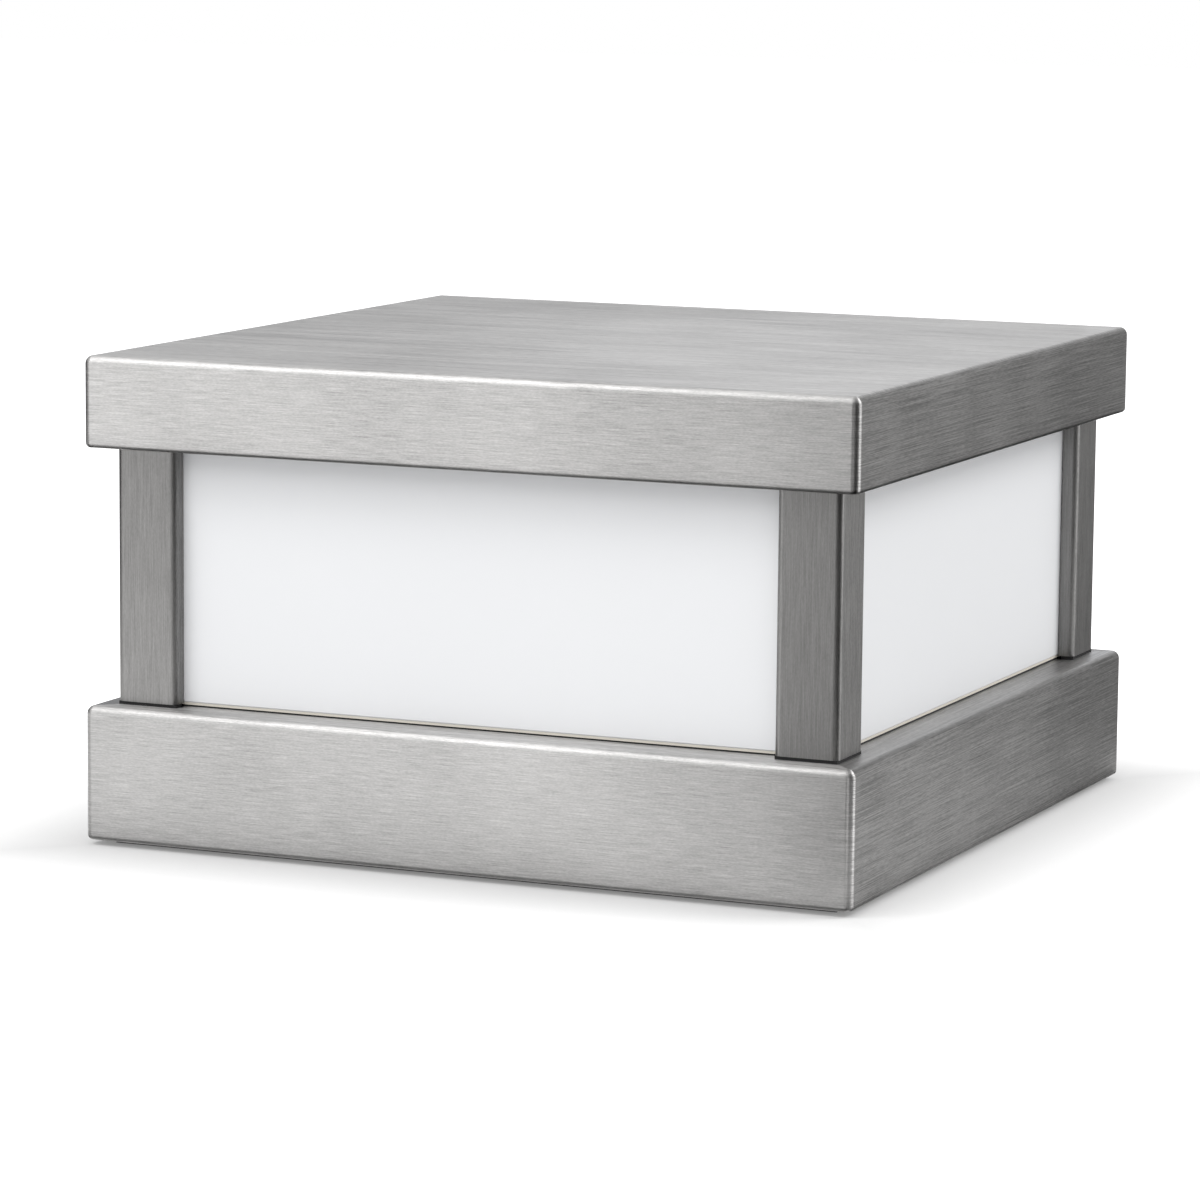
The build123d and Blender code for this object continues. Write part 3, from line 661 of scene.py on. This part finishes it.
# %% [markdown]
# ## Bushes
# The rubber bushes for the cables are turned shapes: a section of radius and height goes round an
# upright axis. Their collars are rounded, as moulded rubber is. The last loop of the section is the
# first one again, which closes the ring.

# %% Bushes
BUSH_STEPS = 48
ROUND_SHARP_DEGREES = 50
CABLE_BORE, CABLE_PLUG = 4.5 * MM, 10 * MM
LEAD_BORE, LEAD_PLUG = 3.2 * MM, 5 * MM


def bush(name, node, bore, plug, seat, y):
    """A ring with a rounded collar above a plug in a hole."""
    low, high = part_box(node)
    collar, foot, top = high[0], low[2], high[2]
    soft = (top - seat) / 3
    # Down the outside and up the bore
    section = [(collar - soft, top), (collar, top - soft), (collar, seat + soft), (collar - soft, seat),
               (plug, seat), (plug, foot), (bore, foot), (bore, top)]
    rows = [round_loop(radius, level, BUSH_STEPS) for radius, level in section + section[:1]]
    piece = skin(name, rows, rubber)
    piece.data.transform(Matrix.Translation((0, y, 0)))
    attach(shade(piece, ROUND_SHARP_DEGREES), "lantern", "black_rubber", node)


lead_low, lead_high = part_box("lead_grommet")
bush("cable_bush", "cable_grommet", CABLE_BORE, CABLE_PLUG, plate_high[2], 0)
bush("lead_bush", "lead_grommet", LEAD_BORE, LEAD_PLUG, tray_high[2], (lead_low[1] + lead_high[1]) / 2)
print("bushes turned: cable_bush, lead_bush")

# %% [markdown]
# ## Screws, nuts and LEDs
# These repeat, so one of each is modelled and a Geometry Nodes tree makes the copies. The tree puts
# a row of points on a line, sets the piece on each point, and turns the whole row about the middle of
# the light, once for each side. It ends in Realize Instances and Set Material, and the result is kept
# as a plain mesh. A row of one, turned four times, gives a piece in each corner.


# %% Tree for copies
def copies_tree():
    """Geometry Nodes tree for rows of copies, and the identifiers of its inputs by name."""
    tree = bpy.data.node_groups.new("copies_in_rows", "GeometryNodeTree")
    tree.interface.new_socket("Geometry", in_out="OUTPUT", socket_type="NodeSocketGeometry")
    kinds = {"Piece": "NodeSocketObject", "Count": "NodeSocketInt", "Start": "NodeSocketVector",
             "Step": "NodeSocketVector", "Sides": "NodeSocketInt", "Finish": "NodeSocketMaterial"}
    names = {}
    for name, kind in kinds.items():
        names[name] = tree.interface.new_socket(name, in_out="INPUT", socket_type=kind).identifier
    given = add(tree, "NodeGroupInput").outputs
    piece = add(tree, "GeometryNodeObjectInfo", {"Object": given["Piece"], "As Instance": True})
    line = add(tree, "GeometryNodeMeshLine", {
        "Count": given["Count"], "Start Location": given["Start"], "Offset": given["Step"]})
    row = add(tree, "GeometryNodeInstanceOnPoints", {
        "Points": line.outputs["Mesh"], "Instance": piece.outputs["Geometry"]})
    middle = add(tree, "GeometryNodeMeshLine", {"Count": given["Sides"], "Offset": (0, 0, 0)})
    order = add(tree, "GeometryNodeInputIndex").outputs[0]
    angle = add(tree, "ShaderNodeMath", {0: order, 1: QUARTER_TURN}, operation="MULTIPLY").outputs[0]
    turn = add(tree, "ShaderNodeCombineXYZ", {"Z": angle}).outputs[0]
    ring = add(tree, "GeometryNodeInstanceOnPoints", {
        "Points": middle.outputs["Mesh"], "Instance": row.outputs["Instances"], "Rotation": turn})
    real = add(tree, "GeometryNodeRealizeInstances", {"Geometry": ring.outputs["Instances"]}).outputs[0]
    finish = add(tree, "GeometryNodeSetMaterial", {"Geometry": real, "Material": given["Finish"]})
    add(tree, "NodeGroupOutput", {"Geometry": finish.outputs[0]})
    return tree, names


COPIES, COPIES_INPUTS = copies_tree()


def copies(name, piece, start, sides, material, count=1, step=(0, 0, 0)):
    """Copies of a piece in rows, as one plain mesh; the piece itself is removed."""
    result = new_piece(name, bmesh.new(), material)
    maker = result.modifiers.new("copies", "NODES")
    maker.node_group = COPIES
    values = {"Piece": piece, "Count": count, "Start": start, "Step": step,
              "Sides": sides, "Finish": material}
    for label, value in values.items():
        maker[COPIES_INPUTS[label]] = value
    settle(result)
    bpy.data.objects.remove(piece)
    return shade(result)


print("tree:", COPIES.name)

# %% [markdown]
# ## Hexagons
# Screw heads and nuts are hexagons. A hexagon is a loop whose radius follows the flats, and its chamfer
# is the smaller of that radius and a cone, which gives the curved corners of a real nut.

# %% Hexagons
CONE = math.tan(math.radians(30))
# Radius of the flat end face as a share of the width across flats
FACE_SHARE = 0.475
CHAMFER_STEPS = (0, 0.33, 0.66, 1)


def hex_loop(flats, level, limit, count=24):
    """Points round a hexagon across its flats, cut back to a limit where that is smaller."""
    points = []
    for i in range(count):
        a = 2 * math.pi * i / count
        radius = min(limit, flats / 2 / math.cos(a % (math.pi / 3) - math.pi / 6))
        points.append(Vector((radius * math.cos(a), radius * math.sin(a), level)))
    return points


def hex_end(flats, level, inwards):
    """Loops of a chamfered end of a hexagon, from its end face inwards: 1 is upwards, -1 downwards."""
    face = FACE_SHARE * flats
    drop = (flats / 2 / math.cos(math.pi / 6) - face) * CONE
    return [hex_loop(flats, level + inwards * drop * s, face + drop * s / CONE) for s in CHAMFER_STEPS]


print("chamfers at", round(math.degrees(math.atan(CONE))), "degrees")

# %% [markdown]
# ## Tray screws
# The screws of the gear tray have a hexagon head with a flange, which spreads the load on the thin
# tray. Their points are slightly tapered, so that they find the hole.

# %% Tray screws
screws_low, screws_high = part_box("gear_tray_screws")
NUT_FLATS = 7 * MM
M4_RADIUS = 2 * MM
FLANGE, FLANGE_RADIUS = 0.6 * MM, 4.6 * MM
GROOVE = 0.25 * MM
tray_top = tray_high[2]
screw_reach = screws_high[1] - NUT_FLATS / 2
screw_rows = hex_end(NUT_FLATS, screws_high[2], -1)
screw_rows += [hex_loop(NUT_FLATS, tray_top + FLANGE, NUT_FLATS)]
screw_rows += [round_loop(FLANGE_RADIUS, tray_top + FLANGE), round_loop(FLANGE_RADIUS, tray_top)]
screw_rows += [round_loop(M4_RADIUS, tray_top), round_loop(M4_RADIUS, screws_low[2] + GROOVE)]
screw_rows += [round_loop(M4_RADIUS - GROOVE, screws_low[2])]
tray_screw = skin("tray_screw", screw_rows, zinc, close_ends=True)
tray_screws = copies("tray_screws", tray_screw, (-screw_reach, -screw_reach, 0), 4, zinc)
attach(tray_screws, "lantern", "steel_fasteners", "gear_tray_screws")
print("tray screws:", len(tray_screws.data.polygons), "faces")

# %% [markdown]
# ## Rods and nuts
# A rod stands in each post, and a nut on top clamps the lantern together. A rod gets the grooves of a
# thread near its upper end only, where they show.

# %% Rods and nuts
nuts_low, nuts_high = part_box("tie_rod_nuts")
rods_low, rods_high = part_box("tie_rods")
PITCH = 0.7 * MM
THREAD_ROOM = 0.05 * MM
rod_reach = rods_high[0] - M4_RADIUS
rod_corner = (-rod_reach, -rod_reach, 0)
thread = [round_loop(M4_RADIUS - GROOVE, rods_high[2])]
level = rods_high[2] - GROOVE
while level > nuts_low[2]:
    thread += [round_loop(M4_RADIUS, level), round_loop(M4_RADIUS - GROOVE, level - PITCH / 2)]
    level -= PITCH
thread += [round_loop(M4_RADIUS, level), round_loop(M4_RADIUS, rods_low[2])]
stud = skin("stud", thread, zinc, close_ends=True)
threaded_rods = copies("threaded_rods", stud, rod_corner, 4, zinc)
attach(threaded_rods, "lantern", "steel_fasteners", "tie_rods")

nut_bore = M4_RADIUS + THREAD_ROOM
nut_rows = [round_loop(nut_bore, nuts_high[2])] + hex_end(NUT_FLATS, nuts_high[2], -1)
nut_rows += hex_end(NUT_FLATS, nuts_low[2], 1)[::-1]
nut_rows += [round_loop(nut_bore, nuts_low[2]), round_loop(nut_bore, nuts_high[2])]
nut = skin("nut", nut_rows, zinc)
frame_nuts = copies("frame_nuts", nut, rod_corner, 4, zinc)
attach(frame_nuts, "lantern", "steel_fasteners", "tie_rod_nuts")
print("fasteners:", threaded_rods.name, frame_nuts.name)

# %% [markdown]
# ## Grub screws
# The two grub screws of the cap have no head: a rod with a hexagon socket in its outer end and a
# cup at its point. The piece is made upright and laid over before it is copied.

# %% Grub screws
SOCKET_FLATS, SOCKET_DEPTH = 2 * MM, 2 * MM
POINT_LENGTH, POINT_RADIUS = 2 * GROOVE, M4_RADIUS / 2
CUP_RADIUS, CUP_DEPTH = M4_RADIUS / 4, GROOVE
grub_length = screw_high[1] - screw_low[1]
grub_rows = [hex_loop(SOCKET_FLATS, grub_length - SOCKET_DEPTH, M4_RADIUS)]
grub_rows += [hex_loop(SOCKET_FLATS, grub_length, M4_RADIUS)]
grub_rows += [round_loop(M4_RADIUS - GROOVE, grub_length), round_loop(M4_RADIUS, grub_length - GROOVE)]
grub_rows += [round_loop(M4_RADIUS, POINT_LENGTH), round_loop(POINT_RADIUS, 0)]
grub_rows += [round_loop(CUP_RADIUS, CUP_DEPTH)]
grub = skin("grub", grub_rows, zinc, close_ends=True)
lay_over = Matrix.Translation((0, screw_low[1], SET_SCREW_LEVEL)) @ Matrix.Rotation(-QUARTER_TURN, 4, "X")
grub.data.transform(lay_over)
grub_screws = copies("grub_screws", grub, (-SET_SCREW_X, 0, 0), 1, zinc, 2, (2 * SET_SCREW_X, 0, 0))
attach(grub_screws, "cap", "steel_fasteners", "cap_set_screws")
print("grub screws:", len(grub_screws.data.polygons), "faces")

# %% [markdown]
# ## LEDs
# An LED is a white package with a round well, and a yellow drop of phosphor in the well. The two
# have different finishes, so they are two pieces, each copied eight to a side.

# %% LEDs
LEDS_PER_SIDE, LED_PITCH, LED_REACH = 8, 14 * MM, 60 * MM
LED_LENGTH, LED_WIDTH = 3.5 * MM, 2.8 * MM
WELL, WELL_DEPTH = 1.15 * MM, 0.2 * MM
# Radius and height of the drop, from its top down, as shares of those of the well
DROP_SECTION = ((0.3, 0.75), (0.65, 0.65), (0.9, 0.4), (1.0, 0.0))
leds_low, leds_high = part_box("leds")


def oblong_loop(length, width, level):
    """Points round an oblong, six to a side, that start at the right as those of a circle do."""
    right = [(1, step / 3) for step in range(-3, 3)]
    top = [(-y, x) for x, y in right]
    left = [(-x, -y) for x, y in right]
    bottom = [(y, -x) for x, y in right]
    ring = right[3:] + top + left + bottom + right[:3]
    return [Vector((x * length / 2, y * width / 2, level)) for x, y in ring]


def led_rows(name, rows, material):
    """One part of an LED, copied in a row along each side."""
    part = skin("led_part", rows, material, close_ends=True)
    start = (-(LEDS_PER_SIDE - 1) * LED_PITCH / 2, -LED_REACH, 0)
    return copies(name, part, start, 4, material, LEDS_PER_SIDE, (LED_PITCH, 0, 0))


well_floor = leds_high[2] - WELL_DEPTH
floor_radius = WELL - WELL_DEPTH / 2
package_rows = [round_loop(floor_radius, well_floor), round_loop(WELL, leds_high[2])]
package_rows += [oblong_loop(LED_LENGTH, LED_WIDTH, level) for level in (leds_high[2], leds_low[2])]
drop_rows = [round_loop(floor_radius * wide, well_floor + WELL_DEPTH * tall) for wide, tall in DROP_SECTION]
attach(led_rows("led_packages", package_rows, led_package), "lantern", "white_board", "leds")
attach(led_rows("led_drops", drop_rows, phosphor), "lantern", "led_phosphor")
print("LEDs:", 4 * LEDS_PER_SIDE)

# %% [markdown]
# ## Leads
# The leads are thin PVC wires. Each follows a few points on a smooth NURBS curve with a round bevel,
# and is then made a mesh. Its ends come from the box of its CAD solid. The two LED leads rise from
# the driver through the bush and bend over to the connector on the board.

# %% Leads
WIRE_RADIUS = 1.1 * MM
BEND_ROOM = 4 * MM
ROUND_STEPS, CURVE_STEPS, CURVE_ORDER = 3, 6, 3
# PVC insulation: plain colours with a slight shine
WIRE_LOOKS = {
    "lead_live": ("pvc_brown", "#5A3520", "brown_insulation"),
    "lead_neutral": ("pvc_blue", "#2A5FA8", "blue_insulation"),
    "lead_earth": ("pvc_green", "#7FA32B", "green_insulation"),
    "lead_led_positive": ("pvc_red", "#B42A22", "red_insulation"),
    "lead_led_negative": ("pvc_black", "#1E1E1F", "black_insulation"),
}


def wire(name, points, material):
    """A round wire along a smooth curve through its end points."""
    curve = bpy.data.curves.new(name, "CURVE")
    curve.dimensions = "3D"
    curve.bevel_depth = WIRE_RADIUS
    curve.bevel_resolution = ROUND_STEPS
    curve.use_fill_caps = True
    spline = curve.splines.new("NURBS")
    spline.points.add(len(points) - 1)
    for target, point in zip(spline.points, points):
        target.co = (*point, 1)
    spline.order_u = min(CURVE_ORDER, len(points))
    spline.use_endpoint_u = True
    spline.resolution_u = CURVE_STEPS
    guide = new_object("guide", curve)
    data = plain_mesh(guide, name)
    data.materials.clear()
    data.materials.append(material)
    bpy.data.objects.remove(guide)
    return shade(new_object(name, data), ROUND_SHARP_DEGREES)


for name, (look, colour, slot_name) in WIRE_LOOKS.items():
    low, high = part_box(name)
    x = (low[0] + high[0]) / 2
    z = high[2] - WIRE_RADIUS
    if name.startswith("lead_led"):
        y = low[1] + WIRE_RADIUS
        route = [(x, y, low[2]), (x, y, z - BEND_ROOM), (x, y, z), (x, y + BEND_ROOM, z), (x, high[1], z)]
    else:
        route = [(x, low[1], z), (x, high[1], z)]
    insulation = plain_finish(look, colour, 0.5, 0.4)
    attach(wire(f"wire_{name}", route, insulation), "lantern", slot_name, name)
print("leads:", len(WIRE_LOOKS))

# %% [markdown]
# ## Floor
# The photograph is a studio picture on white. The floor is pale and takes the shadow. A glow that only
# the camera, mirrors and glass can see lifts it to white, weakly under the light and more further out,
# so a ring of painted shade stays round the foot of the light, over the real shadow.
# From below it is clear, so that the underside of the light can be looked at.

# %% Floor
FLOOR_SIZE, FLOOR_GAP = 6.0, 0.1 * MM
GLOW_NEAR, GLOW_FAR = 0.18, 0.85
FADE_LENGTH = 90 * MM
PAPER_COLOUR = "#CFCFCF"


def seen_directly(tree):
    """1 for rays that see the background as it is: from the camera, a mirror or glass."""
    paths = add(tree, "ShaderNodeLightPath").outputs
    seen = paths["Is Camera Ray"]
    for kind in ("Is Glossy Ray", "Is Transmission Ray"):
        seen = add(tree, "ShaderNodeMath", {0: seen, 1: paths[kind]}, operation="MAXIMUM").outputs[0]
    return seen


# Studio paper: white to the eye, with a soft grey shadow at the foot of the light, deepened by painted
# shade where the glow is weak
floor_material, tree, output = new_material("floor_white")
place = add(tree, "ShaderNodeTexCoord").outputs["Object"]
apart = add(tree, "ShaderNodeVectorMath", {0: place}, operation="ABSOLUTE").outputs[0]
sides = add(tree, "ShaderNodeSeparateXYZ", {0: apart}).outputs
distance = add(tree, "ShaderNodeMath", {0: sides["X"], 1: sides["Y"]}, operation="MAXIMUM").outputs[0]
# Painted shade: the glow is weakest at the foot of the light and grows over the fade length
fade = add(tree, "ShaderNodeMapRange", {
    "Value": distance, "From Min": HALF, "From Max": HALF + FADE_LENGTH,
    "To Min": GLOW_NEAR, "To Max": GLOW_FAR}).outputs[0]
glow = add(tree, "ShaderNodeMath", {0: fade, 1: seen_directly(tree)}, operation="MULTIPLY").outputs[0]
paper = add(tree, "ShaderNodeBsdfDiffuse", {"Color": linear(PAPER_COLOUR)}).outputs[0]
lift = add(tree, "ShaderNodeEmission", {"Strength": glow}).outputs[0]
both = add(tree, "ShaderNodeAddShader", {0: paper, 1: lift}).outputs[0]
under = add(tree, "ShaderNodeNewGeometry").outputs["Backfacing"]
clear = add(tree, "ShaderNodeBsdfTransparent").outputs[0]
sheet = add(tree, "ShaderNodeMixShader", {0: under, 1: both, 2: clear})
tree.links.new(sheet.outputs[0], output.inputs[0])
floor_mesh = bmesh.new()
floor_place = Matrix.Translation((0, 0, -FLOOR_GAP))
bmesh.ops.create_grid(floor_mesh, x_segments=1, y_segments=1, size=FLOOR_SIZE, matrix=floor_place)
floor = new_piece("floor", floor_mesh, floor_material)
print("floor:", 2 * FLOOR_SIZE, "m wide")

# %% [markdown]
# ## Background
# The world does the same as the glow of the floor: it is white to the camera, mirrors and glass, and
# softer to everything else, so the light on the object stays at a plain level.

# %% Background
WORLD_WHITE, WORLD_LIGHT = 1.0, 0.72
world = bpy.data.worlds.new("studio")
bpy.context.scene.world = world
world.use_nodes = True
tree = world.node_tree
tree.nodes.clear()
strength = add(tree, "ShaderNodeMapRange", {
    "Value": seen_directly(tree), "To Min": WORLD_LIGHT, "To Max": WORLD_WHITE}).outputs[0]
sky = add(tree, "ShaderNodeBackground", {"Strength": strength, "Color": (1, 1, 1, 1)})
add(tree, "ShaderNodeOutputWorld", {"Surface": sky.outputs[0]})
print("world:", world.name)

# %% [markdown]
# ## Lamps
# The soft lamps stand where the steel should flash: in front for the front sides, at the right for the
# bright line in the folds, and high at the left for the upper bends.

# %% Lamps
# Name, azimuth and elevation in degrees, distance and width in metres, power in watts
LAMPS = (
    ("front_softbox", -4, 38, 2.0, 1.2, 9.3),
    ("right_softbox", 118, 38, 2.0, 1.0, 16),
    ("left_softbox", -42, 50, 1.8, 0.55, 6.0),
)
for name, azimuth, elevation, distance, width, power in LAMPS:
    data = bpy.data.lights.new(name, "AREA")
    data.size = width
    data.energy = power
    lamp = new_object(name, data)
    direction = outwards(azimuth, elevation)
    lamp.location = Vector((0, 0, cap_high[2] / 2)) + direction * distance
    lamp.rotation_euler = direction.to_track_quat("Z", "Y").to_euler()
print("lamps:", len(LAMPS))

# %% [markdown]
# ## Cards
# Steel shows what stands round it. A photographer puts grey cards beside it, so that its sides and
# folds have something to mirror besides white. A card here is a level strip, and a tall one is bent up
# at its far edge. Cards are part of the stage, and only mirrors see them.

# %% Card helpers
ARC_STEPS = 8
TOP_CARD_INSET = 40 * MM


def arc(radius, start, end):
    """Places on the floor round the front right corner, between two azimuths."""
    angles = [math.radians(start + (end - start) * i / ARC_STEPS) for i in range(ARC_STEPS + 1)]
    return [(HALF + radius * math.sin(a), -HALF - radius * math.cos(a)) for a in angles]


def square_line(reach):
    """A closed square round the light."""
    return [(-reach, -reach), (reach, -reach), (reach, reach), (-reach, reach), (-reach, -reach)]


def back_line(gap):
    """A line behind the light, longer to the left, where the top mirrors."""
    return [(-3 * HALF, HALF + gap), (HALF - TOP_CARD_INSET, HALF + gap)]


def card(name, tone, near, far, height=0, level=MM):
    """A level card between two lines, bent up at the far one if it has a height; only mirrors see it."""
    material, tree, output = new_material(name)
    glow = add(tree, "ShaderNodeEmission", {"Color": linear(tone)})
    tree.links.new(glow.outputs[0], output.inputs[0])
    mesh = bmesh.new()
    rows = [[mesh.verts.new((x, y, level)) for x, y in line] for line in (near, far)]
    if height:
        rows.append([mesh.verts.new((x, y, height)) for x, y in far])
    for lower, upper in zip(rows, rows[1:]):
        for i in range(len(near) - 1):
            mesh.faces.new((lower[i], lower[i + 1], upper[i + 1], upper[i]))
    piece = new_piece(name, mesh, material)
    piece.visible_camera = False
    piece.visible_diffuse = False
    piece.visible_transmission = False
    piece.visible_shadow = False


print("card helpers: arc, square_line, back_line, card")

# %% [markdown]
# ## Where the cards stand
# They stand in front, for the corner and the front; at the right, for the dark line in the folds;
# behind to the right, for the darker right sides, with lower ones for the base; and at the left, for
# the dark outline. Paler ones stand behind for the top, and a low one close behind the light shades the
# back of it. The low one at the front right corner, a narrow one round the foot of the base and one
# under the edge of the cap are painted shade: they stand for the shadow at the foot of the base and
# under the cap, and darken the lower bends and the foot of the base front that mirror them.

# %% Where the cards stand
# Name, tone, azimuths in degrees, distances and height in metres, round the front right corner
ARC_CARDS = (
    ("camera_card", "#8C8C8C", (-28, -8), (0.60, 1.2), 1.2),
    ("near_card", "#606060", (-8, 34), (0.20, 1.2), 1.2),
    ("fold_card", "#262626", (34, 100), (0.06, 1.0), 1.2),
    # Painted shade: a dark patch on the floor for the shadow in front of the corner, which the base mirrors
    ("corner_card", "#6C6C6C", (-38, 8), (0.03, 0.26), 0),
    ("side_card", "#ACACAC", (141, 164), (0.30, 1.0), 1.2),
    ("far_side_card", "#7C7C7C", (164, 179), (0.30, 1.0), 1.2),
    ("low_side_card", "#B8B8B8", (141, 175), (0.03, 0.30), 0),
    ("low_far_card", "#A4A4A4", (175, 179), (0.03, 0.30), 0),
    ("back_card", "#F2F4F8", (185, 209), (0.60, 1.6), 1.6),
    ("back_left_card", "#A0A2A6", (209, 240), (0.60, 1.6), 1.6),
    ("left_card", "#303030", (240, 300), (0.60, 1.4), 0.5),
)
TOP_CARD_GAP, TOP_CARD_RISE = 74 * MM, 40 * MM
FOOT_SHADOW_WIDTH = 5 * MM
EDGE_INSIDE, EDGE_OUTSIDE, EDGE_DROP = 1.5 * MM, 3 * MM, 1.5 * MM
for name, tone, azimuths, (near, far), height in ARC_CARDS:
    card(name, tone, arc(near, *azimuths), arc(far, *azimuths), height)
top_near, top_far = back_line(TOP_CARD_GAP), back_line(TOP_CARD_GAP + MM)
card("top_card", "#9C9DA0", top_near, top_far, cap_high[2] + TOP_CARD_RISE)
# Painted shade: a dark strip round the foot of the base for its contact shadow, as the lower bends mirror
# it
card("skirting_card", "#383838", square_line(HALF), square_line(HALF + FOOT_SHADOW_WIDTH))
edge_near, edge_far = square_line(HALF - EDGE_INSIDE), square_line(HALF + EDGE_OUTSIDE)
# Painted shade: a dark ring under the cap's edge for the shade there, as its lower bend mirrors it
card("edge_card", "#141414", edge_near, edge_far, level=cap_low[2] - EDGE_DROP)
print("cards:", len(ARC_CARDS) + 3)
